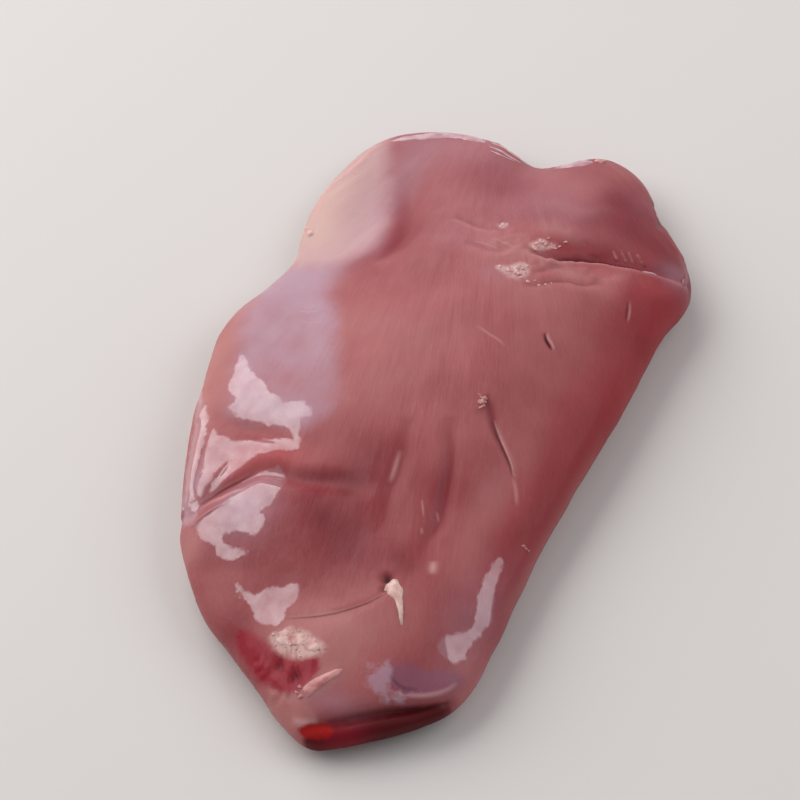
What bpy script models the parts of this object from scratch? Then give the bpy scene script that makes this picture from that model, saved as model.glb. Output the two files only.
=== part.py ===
"""A raw duck breast without its skin, lying on its flat inner side.

The breast is one piece of meat, so it is one closed solid. Its frame has +Z up and +Y along the breast, from
the pointed tail end to the broad wing end, with the origin on the resting face, under the middle of the box.
Places on the breast are shares of its half width and half length, so that they follow the driving sizes.
"""

import math
from collections import namedtuple

import bmesh
import bpy
import numpy as np
from mathutils import noise

MM = 0.001

# Driving sizes, in metres
LENGTH = 0.169
WIDTH = 0.092
BODY_THICKNESS = 0.018

# The edge seen from above, clockwise from the wing end, as shares of the half width and half length
OUTLINE = [
    (-0.70, 0.91), (-0.34, 0.95), (-0.18, 0.925), (-0.05, 0.905), (0.09, 0.945), (0.23, 1.0),
    (0.42, 0.975), (0.59, 0.90), (0.73, 0.82), (0.91, 0.73), (0.99, 0.635), (0.97, 0.50),
    (0.97, 0.14), (0.97, -0.24), (1.0, -0.57), (0.96, -0.75), (0.82, -0.85), (0.56, -0.97),
    (0.43, -1.0), (0.28, -0.965), (0.0, -0.87), (-0.325, -0.765), (-0.6, -0.6), (-0.765, -0.4),
    (-0.89, -0.225), (-1.0, 0.04), (-0.96, 0.23), (-0.925, 0.35), (-0.96, 0.445), (-1.0, 0.61),
    (-0.93, 0.78),
]

# The flank round the edge: degrees from +X, height of its widest line, how squarely the top runs out to it
FLANK = [
    (-180, 8.0 * MM, 2.3), (-140, 8.5 * MM, 2.5), (-105, 6.5 * MM, 2.5), (-75, 4.5 * MM, 2.6),
    (-45, 7.5 * MM, 2.8), (0, 8.5 * MM, 3.4), (40, 8.5 * MM, 3.4), (62, 7.0 * MM, 2.6),
    (85, 6.0 * MM, 2.4), (110, 4.0 * MM, 2.2), (135, 3.2 * MM, 2.0), (160, 5.0 * MM, 2.2),
    (180, 8.0 * MM, 2.3),
]

Lobe = namedtuple("Lobe", "place height spread")
Crease = namedtuple("Crease", "path depth width")

# Muscle masses that thicken or thin the breast, with how far each spreads across and along
LOBES = [
    Lobe((0.26, 0.26), 6.5 * MM, (30 * MM, 44 * MM)),
    Lobe((-0.20, -0.52), 3.6 * MM, (16 * MM, 10 * MM)),
    Lobe((0.62, -0.62), 2.2 * MM, (13 * MM, 16 * MM)),
    Lobe((0.46, 0.78), 2.6 * MM, (13 * MM, 9 * MM)),
    Lobe((-0.66, 0.62), -8.0 * MM, (14 * MM, 30 * MM)),
    Lobe((0.84, 0.56), 2.0 * MM, (7 * MM, 6 * MM)),
]

# Folds and cuts pressed into the meat; a negative depth raises a ridge
CREASES = [
    # The cleft under the wing end's outer muscle, with the lip of the main muscle beside it
    Crease([(0.16, 0.54), (0.30, 0.525), (0.46, 0.535), (0.62, 0.555), (0.80, 0.60), (1.0, 0.66)],
           4.6 * MM, 2.4 * MM),
    Crease([(0.10, 0.47), (0.30, 0.455), (0.48, 0.465), (0.64, 0.485), (0.82, 0.52), (1.0, 0.56)],
           -1.1 * MM, 3.0 * MM),
    Crease([(0.05, 0.62), (0.22, 0.61), (0.38, 0.62), (0.55, 0.645)], 1.1 * MM, 1.8 * MM),
    # The fold across the tail half, and the bulge that it sets off
    Crease([(-0.72, -0.56), (-0.58, -0.49), (-0.43, -0.42), (-0.22, -0.375), (0.0, -0.36), (0.24, -0.37)],
           2.9 * MM, 3.8 * MM),
    Crease([(-0.88, -0.31), (-0.68, -0.31), (-0.42, -0.28)], 0.9 * MM, 2.2 * MM),
    # The valley beside the thin fat edge
    Crease([(-0.46, 0.70), (-0.38, 0.54), (-0.36, 0.40), (-0.44, 0.28), (-0.60, 0.16)], 2.2 * MM, 6.0 * MM),
    # Wrinkles running down to the tail
    Crease([(0.10, -0.16), (0.16, -0.28), (0.19, -0.40), (0.20, -0.50)], 0.8 * MM, 2.0 * MM),
    Crease([(0.24, -0.18), (0.31, -0.30), (0.37, -0.42), (0.42, -0.52)], 1.3 * MM, 2.4 * MM),
    Crease([(0.42, -0.10), (0.47, -0.24), (0.53, -0.37), (0.57, -0.50), (0.58, -0.60)], 1.4 * MM, 2.8 * MM),
    Crease([(0.50, -0.02), (0.58, -0.08), (0.68, -0.16), (0.78, -0.26)], 1.5 * MM, 1.4 * MM),
    # The knife cut by the tail, and the nick on the main muscle
    Crease([(-0.10, -0.80), (0.10, -0.755), (0.30, -0.70), (0.42, -0.65), (0.50, -0.59)], 1.5 * MM, 1.8 * MM),
    Crease([(0.52, 0.27), (0.58, 0.245), (0.65, 0.22)], 1.2 * MM, 1.2 * MM),
    # The torn end, and the groove under the tail's lip
    Crease([(0.10, -0.86), (0.22, -0.87), (0.34, -0.84)], 1.5 * MM, 3.0 * MM),
    Crease([(0.40, -0.99), (0.56, -0.955), (0.70, -0.90), (0.84, -0.83), (0.96, -0.74)], 2.2 * MM, 1.8 * MM),
]

# How gently a crease dies out towards its ends
CREASE_FADE = 0.8

# The round edge below the flank: how squarely it turns, and how much of it the table presses flat
EDGE_SQUARENESS = 8
PRESSED = 0.4 * MM

# Fineness of the cage across, along and up, and the share of its triangles that the solid keeps
CAGE_CUTS = (79, 139, 35)
KEPT_SHARE = 0.145

# Which share of the way to the edge is reached at each turn round the cage, from its top (0) to its
# underside (1): the upper side and the flank take more of the cage than the flat face does
WIDEST_TURN = 0.56
UPPER_TURNS = [(0, 0), (0.25, 0.66), (0.42, 0.94), (WIDEST_TURN, 1)]
LOWER_TURNS = [(WIDEST_TURN, 1), (0.64, 0.96), (0.75, 0.78), (1, 0)]

# What lies this close to the table is part of the resting face
FLAT_WITHIN = 0.02 * MM

# Soft unevenness of loose muscle: (size of the swells, their height)
SWELLS = [(24 * MM, 0.9 * MM), (10 * MM, 0.4 * MM)]


def placed(share):
    return (share[0] * WIDTH / 2, share[1] * LENGTH / 2)


def smooth_curve(points, closed, steps):
    """Points along a Catmull-Rom curve through the given ones."""
    p = np.array(points, float)
    if closed:
        p = np.vstack([p[-1], p, p[0], p[1]])
    else:
        p = np.vstack([2 * p[0] - p[1], p, 2 * p[-1] - p[-2]])
    t = np.linspace(0, 1, steps, endpoint=False)[:, None]
    spans = []
    for a, b, c, d in zip(p[:-3], p[1:-2], p[2:-1], p[3:]):
        square = 2 * a - 5 * b + 4 * c - d
        cube = 3 * b - 3 * c + d - a
        spans.append(b + 0.5 * ((c - a) * t + square * t**2 + cube * t**3))
    if not closed:
        spans.append(p[-2][None])
    return np.vstack(spans)


def edge_radius(angle):
    """Distance from the middle to the edge, seen from above."""
    edge = smooth_curve([placed(share) for share in OUTLINE], closed=True, steps=12)
    angles = np.arctan2(edge[:, 1], edge[:, 0])
    order = np.argsort(angles)
    return np.interp(angle, angles[order], np.hypot(edge[:, 0], edge[:, 1])[order], period=2 * math.pi)


def flank(angle):
    """Height of the flank's widest line, and the squareness of the top, at an angle round the edge."""
    degrees, heights, squareness = zip(*FLANK)
    return np.interp(np.degrees(angle), degrees, heights), np.interp(np.degrees(angle), degrees, squareness)


def thickness(x, y):
    total = np.full(x.shape, BODY_THICKNESS)
    for lobe in LOBES:
        cx, cy = placed(lobe.place)
        total += lobe.height * np.exp(-(((x - cx) / lobe.spread[0]) ** 2) - ((y - cy) / lobe.spread[1]) ** 2)
    return total


def upper_side(share, angle):
    """The upper surface at a share of the way from the middle to the edge."""
    reach = share * edge_radius(angle)
    x, y = reach * np.cos(angle), reach * np.sin(angle)
    height, squareness = flank(angle)
    z = height + (thickness(x, y) - height) * np.sqrt(np.clip(1 - share**squareness, 0, 1))
    return np.stack([x, y, z], axis=1)


def lower_side(share, angle):
    """The lower surface: a round edge that runs into the flat face on the table."""
    reach = share * edge_radius(angle)
    rise = 1 - np.sqrt(np.clip(1 - share**EDGE_SQUARENESS, 0, 1))
    z = np.maximum(flank(angle)[0] * rise - PRESSED, 0)
    return np.stack([reach * np.cos(angle), reach * np.sin(angle), z], axis=1)


def block():
    """A cube with each direction cut as finely as the breast needs it."""
    bm = bmesh.new()
    bmesh.ops.create_cube(bm, size=2)
    for axis, cuts in enumerate(CAGE_CUTS):
        along = [e for e in bm.edges if abs(e.verts[0].co[axis] - e.verts[1].co[axis]) > 1]
        bmesh.ops.subdivide_edges(bm, edges=along, cuts=cuts, use_grid_fill=True)
    return bm


def drawn_out(bm):
    """Moves the block's points to the breast's plain form."""
    ball = np.tan(np.array([v.co for v in bm.verts]) * math.pi / 4)
    ball /= np.linalg.norm(ball, axis=1)[:, None]
    angle = np.arctan2(ball[:, 1] * LENGTH, ball[:, 0] * WIDTH)
    down = np.arccos(np.clip(ball[:, 2], -1, 1)) / math.pi
    upper_share = np.interp(down, *zip(*UPPER_TURNS))
    lower_share = np.interp(down, *zip(*LOWER_TURNS))
    upper = (down < WIDEST_TURN)[:, None]
    places = np.where(upper, upper_side(upper_share, angle), lower_side(lower_share, angle))
    for vert, place in zip(bm.verts, places):
        vert.co = place


def on_top(share):
    x, y = placed(share)
    angle = np.array([math.atan2(y, x)])
    out = math.hypot(x, y) / edge_radius(angle)
    return upper_side(np.minimum(out, 1), angle)[0]


def nearest_on(path, points):
    """How far each point is from a line of points in space, and where along the line, from 0 to 1."""
    away = np.full(len(points), np.inf)
    along = np.zeros(len(points))
    for i, (a, b) in enumerate(zip(path[:-1], path[1:])):
        span = b - a
        t = np.clip(((points - a) @ span) / (span @ span), 0, 1)
        gap = np.linalg.norm(points - a - t[:, None] * span, axis=1)
        nearer = gap < away
        away[nearer] = gap[nearer]
        along[nearer] = ((i + t) / (len(path) - 1))[nearer]
    return away, along


def creased(bm):
    """Presses the folds and cuts in, each fading out towards its ends."""
    bm.normal_update()
    points = np.array([v.co for v in bm.verts])
    normals = np.array([v.normal for v in bm.verts])
    depth = np.zeros(len(points))
    for crease in CREASES:
        path = smooth_curve([on_top(share) for share in crease.path], closed=False, steps=6)
        away, along = nearest_on(path, points)
        fade = np.sin(math.pi * along) ** CREASE_FADE
        depth += crease.depth * np.exp(-((away / crease.width) ** 2)) * fade
    for vert, place in zip(bm.verts, points - normals * depth[:, None]):
        vert.co = place


def swollen(bm):
    """Adds the soft unevenness everywhere but on the resting face."""
    bm.normal_update()
    for vert in bm.verts:
        if vert.co.z > 0:
            height = sum(noise.noise(vert.co / size) * swell for size, swell in SWELLS)
            vert.co += vert.normal * height * min(vert.co.z / (2 * MM), 1)
        vert.co.z = max(vert.co.z, 0)


def centred(bm):
    """Puts the origin under the middle of the box, on the resting face."""
    points = np.array([v.co for v in bm.verts])
    middle = (points.min(axis=0) + points.max(axis=0)) / 2
    bmesh.ops.translate(bm, verts=bm.verts, vec=(-middle[0], -middle[1], 0))


def thinned(breast):
    """Keeps few triangles where the meat is smooth, more along the folds, and a truly flat resting face."""
    fewer = breast.modifiers.new("fewer_triangles", "DECIMATE")
    fewer.ratio = KEPT_SHARE
    evaluated = breast.evaluated_get(bpy.context.evaluated_depsgraph_get())
    mesh = bpy.data.meshes.new_from_object(evaluated)
    for vert in mesh.vertices:
        if vert.co.z < FLAT_WITHIN:
            vert.co.z = 0
    breast.modifiers.remove(fewer)
    breast.data = mesh


def meat():
    material = bpy.data.materials.new("raw_duck_meat")
    material.use_nodes = True
    shader = material.node_tree.nodes["Principled BSDF"]
    shader.inputs["Base Color"].default_value = (0.38, 0.13, 0.13, 1)
    shader.inputs["Roughness"].default_value = 0.28
    shader.inputs["Metallic"].default_value = 0
    return material


def main():
    for obj in list(bpy.data.objects):
        bpy.data.objects.remove(obj)
    collection = bpy.data.collections.new("duck_breast")
    bpy.context.scene.collection.children.link(collection)

    bm = block()
    drawn_out(bm)
    creased(bm)
    swollen(bm)
    centred(bm)
    mesh = bpy.data.meshes.new("duck_breast")
    bm.to_mesh(mesh)
    bm.free()
    mesh.shade_smooth()
    mesh.materials.append(meat())

    breast = bpy.data.objects.new("duck_breast", mesh)
    collection.objects.link(breast)
    thinned(breast)


main()
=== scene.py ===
import math

import bmesh
import bpy
import numpy as np
from mathutils import Matrix, Vector, noise
from mathutils.bvhtree import BVHTree


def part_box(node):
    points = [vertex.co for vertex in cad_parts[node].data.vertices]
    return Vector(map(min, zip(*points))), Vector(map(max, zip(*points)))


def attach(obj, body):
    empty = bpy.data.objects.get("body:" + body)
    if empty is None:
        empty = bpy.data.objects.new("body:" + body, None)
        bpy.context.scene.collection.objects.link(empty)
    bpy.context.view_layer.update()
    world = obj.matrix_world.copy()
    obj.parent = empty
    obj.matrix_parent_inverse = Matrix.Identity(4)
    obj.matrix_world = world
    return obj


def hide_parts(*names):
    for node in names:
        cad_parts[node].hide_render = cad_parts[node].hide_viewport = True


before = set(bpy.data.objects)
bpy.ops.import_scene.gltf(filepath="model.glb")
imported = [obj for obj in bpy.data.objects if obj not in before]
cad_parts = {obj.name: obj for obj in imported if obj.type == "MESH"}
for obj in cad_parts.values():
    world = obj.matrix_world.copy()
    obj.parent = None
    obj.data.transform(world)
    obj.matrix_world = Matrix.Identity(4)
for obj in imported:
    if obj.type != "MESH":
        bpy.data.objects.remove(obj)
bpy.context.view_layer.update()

mm = 0.001
cadLow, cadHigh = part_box("duck_breast")
print("frame loaded, CAD box", [round(side / mm, 1) for side in cadHigh - cadLow], "mm")


# Places on the breast are thousandths of its half width (x) and half length (y);
# heights, depths, widths and sizes are in mm.
breast = {
    "width": 92,
    "length": 169,
    "bodyThickness": 18,
    "outline": [
        (-700, 910), (-340, 950), (-180, 925), (-50, 905), (90, 945), (230, 1000), (420, 975), (590, 900),
        (730, 820), (910, 730), (990, 635), (970, 500), (970, 140), (970, -240), (1000, -570), (960, -750),
        (820, -850), (560, -970), (430, -1000), (280, -965), (0, -870), (-325, -765), (-600, -600),
        (-765, -400), (-890, -225), (-1000, 40), (-960, 230), (-925, 350), (-960, 445), (-1000, 610),
        (-930, 780),
    ],
    "flank": [  # degrees from +X, height of the widest line, squareness of the top
        (-180, 8.0, 2.3), (-140, 8.5, 2.5), (-105, 6.5, 2.5), (-75, 4.5, 2.6), (-45, 7.5, 2.8),
        (0, 8.5, 3.4), (40, 8.5, 3.4), (62, 7.0, 2.6), (85, 6.0, 2.4), (110, 4.0, 2.2),
        (135, 3.2, 2.0), (160, 5.0, 2.2), (180, 8.0, 2.3),
    ],
    "lobes": [  # place, height, spread across and along
        ((260, 260), 6.5, (30, 44)), ((-200, -520), 3.6, (16, 10)), ((620, -620), 2.2, (13, 16)),
        ((460, 780), 2.6, (13, 9)), ((-660, 620), -8.0, (14, 30)), ((840, 560), 2.0, (7, 6)),
    ],
    "edgeSquareness": 8,
    "pressed": 0.4,
    "swells": [(24, 0.9), (10, 0.4)],  # size and height of the soft unevenness
    "ripples": [(3.8, 12, 0, 0.13), (1.8, 5, 50, 0.05)],  # across and along the fibres, start, height
    "lumps": [(2.8, 0.8), (1.5, 0.3)],  # size and height of the torn flesh's lumps
    "lumpFloor": 0.22,
    "rough": {"torn": (0.8, 3, 0.2), "froth": (0.4, 2, 0.5)},  # strength, mm over which it comes in, start
    "calmWhereWet": 0.6,
    "cuts": (151, 271, 51),  # fineness of the cage across, along and up
    "upperTurns": [(0, 0), (0.25, 0.66), (0.42, 0.94), (0.56, 1)],
    "lowerTurns": [(0.56, 1), (0.64, 0.96), (0.75, 0.78), (1, 0)],
    "fibreApex": (-480, 1130),  # where the muscle's fibres would meet, beyond the wing end
    "narrowFold": 1.5,  # the cage is drawn together along folds of less half width
    "gather": (3.0, 0.5),  # how far from such a fold, and how strongly
}

# Folds and wrinkles: path, depth (below 0 stands out), half width, lip on the path's right,
# flush, painted shade in the groove, pale crown (partly paler tissue, partly painted highlight on lips and
# crests)
folds = {
    "cleft": ([
        (220, 505), (300, 505), (380, 517), (450, 542), (560, 580), (640, 595), (740, 612), (880, 638),
        (1020, 670),
    ], 2.3, 1.5, 0.8, 0.9, 0.17, 0.4),
    "cleftWall": ([(240, 525), (340, 550), (500, 600), (660, 630), (800, 650)], 0.8, 2.4, 0, 0.8, 0, 0),
    "underLip": ([
        (330, 375), (392, 385), (439, 413), (507, 440), (577, 453), (636, 487), (680, 530),
    ], 0.4, 1.4, 0.12, 0.55, 0, 0.05),
    "lowCrease": ([(340, 415), (366, 435), (408, 472), (463, 494)], 0.35, 1, 0.1, 0.5, 0, 0),
    "lowCrest": ([(620, 500), (670, 512), (704, 536), (762, 539)], -0.2, 1.5, 0, 0, 0, 0.12),
    "cornerCrease": ([(743, 562), (779, 536), (792, 500), (790, 460)], 0.3, 2, 0, 0.6, 0, 0),
    "besideCleft": ([(-60, 465), (10, 467), (120, 463), (190, 515)], 0.5, 1.5, 0.2, 0.35, 0, 0.12),
    "besideCleftTop": ([(-200, 560), (-148, 554), (-42, 541), (80, 544)], 0.45, 1.2, 0.2, 0.3, 0, 0.2),
    "lobeValley": ([(440, 640), (470, 720), (500, 820), (480, 920)], 0.6, 3.6, 0, 0.35, 0, 0),
    "lobeCrest": ([(150, 660), (250, 690), (367, 697), (450, 740), (480, 780)], -0.5, 2.2, 0, 0, 0, 0.12),
    "lobeSlit": ([(572, 896), (622, 879), (665, 850), (710, 789)], 1.3, 1.2, 0.1, 0.6, 1, 0),
    "lobeEdge": ([(870, 755), (930, 716), (977, 666), (1000, 620)], 1.2, 1.1, 0.3, 0.4, 0.6, 0.3),
    "tailFold": ([
        (-700, -588), (-570, -530), (-450, -464), (-360, -404), (-260, -388), (-160, -384), (-50, -372),
        (70, -356), (200, -352),
    ], 1.6, 2.6, 0.4, 0.3, 0, 0),
    "tailFoldFloor": ([
        (-580, -535), (-536, -502), (-486, -466), (-440, -437), (-400, -407), (-353, -375),
    ], 0.7, 1.3, 0, 0.55, 0.3, 0),
    "tailFoldEnd": ([
        (-420, -410), (-340, -378), (-260, -374), (-180, -374), (-63, -354), (66, -337), (150, -335),
    ], 0.3, 2.2, 0, 0.65, 0.25, 0),
    "foldStrand": ([
        (-560, -540), (-515, -513), (-459, -500), (-429, -481), (-390, -455),
    ], -0.2, 0.6, 0, 0, 0, 0.55),
    "valleyLeft": ([
        (-820, -260), (-680, -278), (-605, -286), (-420, -284), (-250, -270),
    ], 1.2, 2.7, 0, 0.1, 0, 0),
    "edgeFilm": ([
        (-880, -190), (-849, -223), (-798, -277), (-742, -352), (-698, -423), (-645, -500), (-602, -561),
    ], -0.2, 1.5, 0, 0, 0, 0.3),
    "edgeGroove": ([
        (-753, -297), (-707, -360), (-681, -411), (-640, -473), (-602, -501),
    ], 0.25, 0.8, 0, 0.3, 0, 0),
    "strandTop": ([
        (-574, -494), (-553, -471), (-539, -444), (-531, -415), (-529, -387),
    ], 0.35, 1.2, 0.1, 0.5, 0, 0),
    "nickTop": ([(-330, -528), (-276, -520), (-220, -508), (-120, -480)], 0.15, 1.3, 0, 0, 0, 0),
    "nickLow": ([(-400, -613), (-347, -603), (-280, -595), (-150, -575)], 0.2, 1.6, 0, 0, 0, 0),
    "patchGap": ([
        (-480, -700), (-340, -678), (-190, -658), (-50, -665), (80, -625),
    ], 0.3, 2.4, 0, 0.1, 0, 0),
    "fatValley": ([
        (-600, 740), (-525, 650), (-455, 560), (-405, 474), (-398, 416), (-420, 365), (-460, 325),
    ], 1.6, 3.4, 0, 0.2, 0, 0),
    "fatValleyFloor": ([
        (-598, 727), (-573, 658), (-515, 576), (-455, 479), (-445, 400), (-505, 341), (-569, 289),
    ], 0.2, 2.8, 0, 0.8, 0.02, 0),
    "fatRim": ([
        (-800, 835), (-865, 785), (-880, 740), (-900, 680), (-938, 635), (-960, 580), (-935, 514),
        (-920, 470),
    ], -0.3, 0.8, 0, 0, 0, 0.7),
    "wrinkleLeft": ([
        (190, -120), (200, -168), (236, -232), (259, -290), (268, -331), (300, -400), (340, -460),
    ], 0.75, 1.8, 0, 0.65, 0, 0),
    "wrinkleLeftRidge": ([(212, -213), (225, -247), (239, -286), (244, -310)], -0.2, 0.5, 0, 0, 0, 0.45),
    "wrinkleRight": ([
        (360, -80), (390, -122), (440, -172), (477, -225), (511, -281), (539, -340), (548, -365),
        (546, -420), (554, -476),
    ], 1, 1.9, 0, 1.1, 0.03, 0),
    "glint": ([(612, -470), (626, -490), (638, -510)], -0.12, 0.8, 0, 0, 0, 0.6),
    "wrinkleFar": ([
        (710, -100), (749, -139), (765, -219), (800, -340), (820, -450),
    ], 0.25, 2.4, 0, 0.2, 0, 0),
    "slit": ([
        (735, -153), (700, -129), (662, -110), (618, -89), (574, -66), (531, -40),
    ], 0.4, 0.6, 0.2, 0.3, 0, 0.25),
    "slitShade": ([
        (450, 12), (459, 7), (485, -9), (517, -29), (551, -51), (587, -73), (620, -90),
    ], 0.35, 1, 0, 1.2, 0.15, 0),
    "tailCut": ([
        (500, -590), (430, -646), (329, -691), (230, -720), (120, -745), (50, -775),
    ], 0.3, 0.9, 0, 0.3, 0, 0),
    "nick": ([(618, 220), (597, 229), (569, 240), (549, 253)], 0.5, 0.6, 0.25, 0.4, 0, 0),
    "tornTongue": ([
        (357, -899), (378, -884), (400, -866), (423, -848), (448, -829), (463, -816),
    ], -0.3, 1.5, 0, 0, 0, 0.3),
    "tipRim": ([(333, -962), (379, -964), (418, -957), (455, -943)], -0.15, 0.9, 0, 0, 0, 0.75),
    "tailGroove": ([
        (370, -980), (520, -935), (620, -895), (720, -857), (840, -815), (930, -770), (970, -745),
    ], 2.2, 1.5, 0, 0.9, 0.5, 0),
}

# Fine lines: path, half width, how dark the line (painted shade in the cut or crease) and how pale its right
# side (painted highlight on the lit lip); a dark below 0 makes a pale line, for the painted glints and
# highlights and the pale scratches
lines = {
    "cleft": ([(380, 517), (444, 545), (566, 585), (634, 598), (731, 614), (800, 622)], 0.45, 0.9, 0.3),
    "underLip": (folds["underLip"][0][:-1], 0.5, 0.15, 0.1),
    "slit": (folds["slit"][0], 0.17, 0.65, 0.6),
    "tailCut": ([(500, -600), (430, -646), (329, -691), (230, -720), (120, -745)], 0.25, 0.4, 0.15),
    "nick": (folds["nick"][0], 0.27, 0.9, 0.6),
    "cornerSlit": ([(823, 421), (810, 448), (792, 476)], 0.3, 0.5, 0.4),
    "scratch": ([(249, 193), (313, 183), (375, 175), (421, 167)], 0.35, -0.3, 0),
    "foldStrandLow": ([
        (-391, -500), (-412, -519), (-452, -539), (-498, -561), (-540, -590),
    ], 0.34, 0.4, 0.2),
    "foldStrandUp": ([(-400, -407), (-440, -437), (-486, -466), (-536, -502), (-590, -535)], 0.3, 0.3, 0.2),
    "strandTop": (folds["strandTop"][0], 0.8, 0.25, 0.2),
    "edgeGroove": (folds["edgeGroove"][0], 0.4, 0.35, 0.2),
    "tailFilmCrease": ([(667, -779), (700, -790), (749, -792), (803, -780)], 0.5, 0.35, 0),
    # A pale line along the slit's lit edge and pale arcs on the tail film: painted highlights
    "slitHighlight": ([(809, -213), (776, -181), (738, -152)], 0.5, -0.35, 0),
    "tailFilmHighlightArc": ([
        (697, -810), (756, -803), (812, -790), (870, -768), (913, -742), (937, -714),
    ], 0.55, -0.5, 0),
    "besideCleftA": ([(60, 495), (100, 497), (150, 493), (200, 488)], 0.35, -0.22, 0),
    "besideCleftB": ([(-20, 478), (20, 479), (70, 474), (120, 468)], 0.3, -0.18, 0),
    "ridgeGlintA": ([(422, -324), (445, -345), (467, -366)], 0.3, -0.28, 0),
    "ridgeGlintB": ([(507, -335), (524, -347), (540, -360)], 0.35, -0.26, 0),
    "ridgeGlintC": ([(483, -397), (493, -405), (502, -413)], 0.35, -0.25, 0),
    "filmScratchA": ([(-660, 125), (-600, 125), (-550, 135)], 0.22, -0.5, 0.1),
    "filmScratchB": ([(-600, 85), (-550, 88), (-500, 100)], 0.2, -0.4, 0.1),
}

# Small pits: place, depth, radius, painted shade in the pit
pits = [
    ((463, -565), 1.5, 1.1, 1), ((475, -592), 0.9, 0.8, 0.8), ((180, -855), 0.9, 1.3, 0.5),
    ((280, -872), 1, 1.3, 0.6),
]

# Patches of other tissue, as outlines
patches = {
    "film": [
        (-960, 300), (-800, 310), (-677, 296), (-480, 151), (-330, 3), (-243, -81), (-200, -164),
        (-240, -210), (-325, -245), (-451, -248), (-601, -247), (-666, -239), (-723, -190), (-771, -133),
        (-815, -66), (-867, 17), (-931, 142),
    ],
    "tailFilm": [
        (659, -758), (780, -733), (893, -700), (942, -697), (955, -713), (929, -744), (852, -779),
        (772, -803), (709, -808), (667, -791),
    ],
    # The pale patch at the tail film's left: painted highlight in film colour
    "tailFilmHighlight": [
        (576, -792), (611, -765), (652, -758), (667, -782), (679, -805), (727, -810), (780, -804),
        (740, -825), (671, -835), (622, -825),
    ],
    "fat": [
        (-1150, 360), (-1150, 600), (-1050, 820), (-900, 850), (-801, 792), (-712, 702), (-635, 609),
        (-545, 495), (-549, 399), (-636, 329), (-748, 310), (-900, 310),
    ],
    "torn": [
        (30, -830), (100, -800), (180, -765), (290, -765), (370, -775), (370, -850), (340, -930),
        (250, -945), (120, -930), (20, -880),
    ],
    "raw": [
        (-69, -804), (8, -813), (86, -828), (158, -837), (246, -836), (321, -822), (352, -837), (344, -862),
        (328, -882), (312, -896), (270, -902), (215, -898), (155, -890), (95, -876), (31, -856),
        (-34, -834),
    ],
    # The tip's bloody underside, painted darker still as shade
    "underTailBloodShade": [
        (420, -975), (458, -955), (538, -927), (644, -890), (746, -848), (847, -807), (925, -772),
        (960, -770), (1100, -900), (900, -1100), (500, -1200),
    ],
    "bloodSpot": [
        (379, -979), (404, -968), (450, -954), (498, -945), (528, -948), (528, -964), (480, -981),
        (421, -989),
    ],
}

# Where froth or pith roughens the surface, and where the film lies wet and smooth enough to shine
frothPatches = {
    "belowCleft": [
        (170, 400), (220, 415), (260, 440), (310, 440), (330, 410), (310, 385), (270, 380), (210, 385),
    ],
    "aboveCleft": [
        (252, 512), (256, 540), (285, 558), (320, 556), (345, 562), (352, 552), (325, 534), (295, 516),
    ],
    "besideWing": [(42, 558), (60, 571), (85, 562), (66, 550)],
    "tornEnd": [
        (82, -804), (91, -787), (118, -775), (166, -762), (226, -762), (290, -769), (347, -779),
        (357, -797), (324, -815), (247, -831), (187, -832), (123, -824),
    ],
}
wetPatches = {
    "top": [
        (-793, -57), (-735, -85), (-660, -118), (-565, -147), (-527, -166), (-472, -176), (-428, -191),
        (-370, -174), (-300, -178), (-267, -199), (-304, -222), (-280, -259), (-241, -302), (-272, -300),
        (-313, -260), (-381, -253), (-443, -258), (-483, -254), (-576, -255), (-637, -250), (-683, -235),
        (-668, -209), (-739, -179), (-761, -135), (-781, -89),
    ],
    "band": [
        (-710, -300), (-667, -321), (-607, -324), (-566, -333), (-483, -316), (-406, -299), (-295, -280),
        (-245, -302), (-313, -319), (-369, -337), (-418, -363), (-449, -392), (-474, -430), (-514, -467),
        (-551, -491), (-553, -465), (-540, -440), (-531, -412), (-535, -395), (-550, -410), (-562, -440),
        (-578, -475), (-583, -501), (-612, -481), (-641, -444), (-670, -391), (-688, -340),
    ],
    "belowFold": [
        (-518, -573), (-463, -548), (-413, -507), (-453, -464), (-399, -420), (-353, -386), (-278, -367),
        (-215, -403), (-199, -450), (-201, -486), (-231, -512), (-260, -520), (-200, -524), (-193, -550),
        (-203, -580), (-276, -579), (-342, -586), (-355, -604), (-291, -621), (-223, -617), (-198, -625),
        (-239, -639), (-282, -653), (-345, -643), (-391, -621), (-446, -616), (-496, -595),
    ],
    "aboveTorn": [
        (-214, -688), (-161, -707), (-87, -708), (-40, -682), (23, -672), (63, -656), (105, -663),
        (114, -691), (96, -723), (103, -746), (87, -767), (33, -774), (-34, -761), (-99, -734),
        (-169, -717),
    ],
    "right": [
        (869, -363), (885, -398), (898, -437), (915, -475), (937, -509), (952, -534), (935, -575),
        (923, -624), (917, -657), (888, -683), (835, -679), (795, -664), (812, -634), (858, -608),
        (888, -581), (882, -548), (862, -513), (847, -474), (839, -442), (838, -399), (846, -368),
    ],
    "edge": [
        (-920, -175), (-826, -230), (-779, -264), (-739, -308), (-708, -350), (-690, -391), (-654, -443),
        (-620, -485), (-590, -514), (-548, -555), (-533, -579), (-606, -574), (-650, -532), (-676, -479),
        (-727, -427), (-750, -388), (-784, -339), (-830, -285), (-863, -241),
    ],
}

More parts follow.
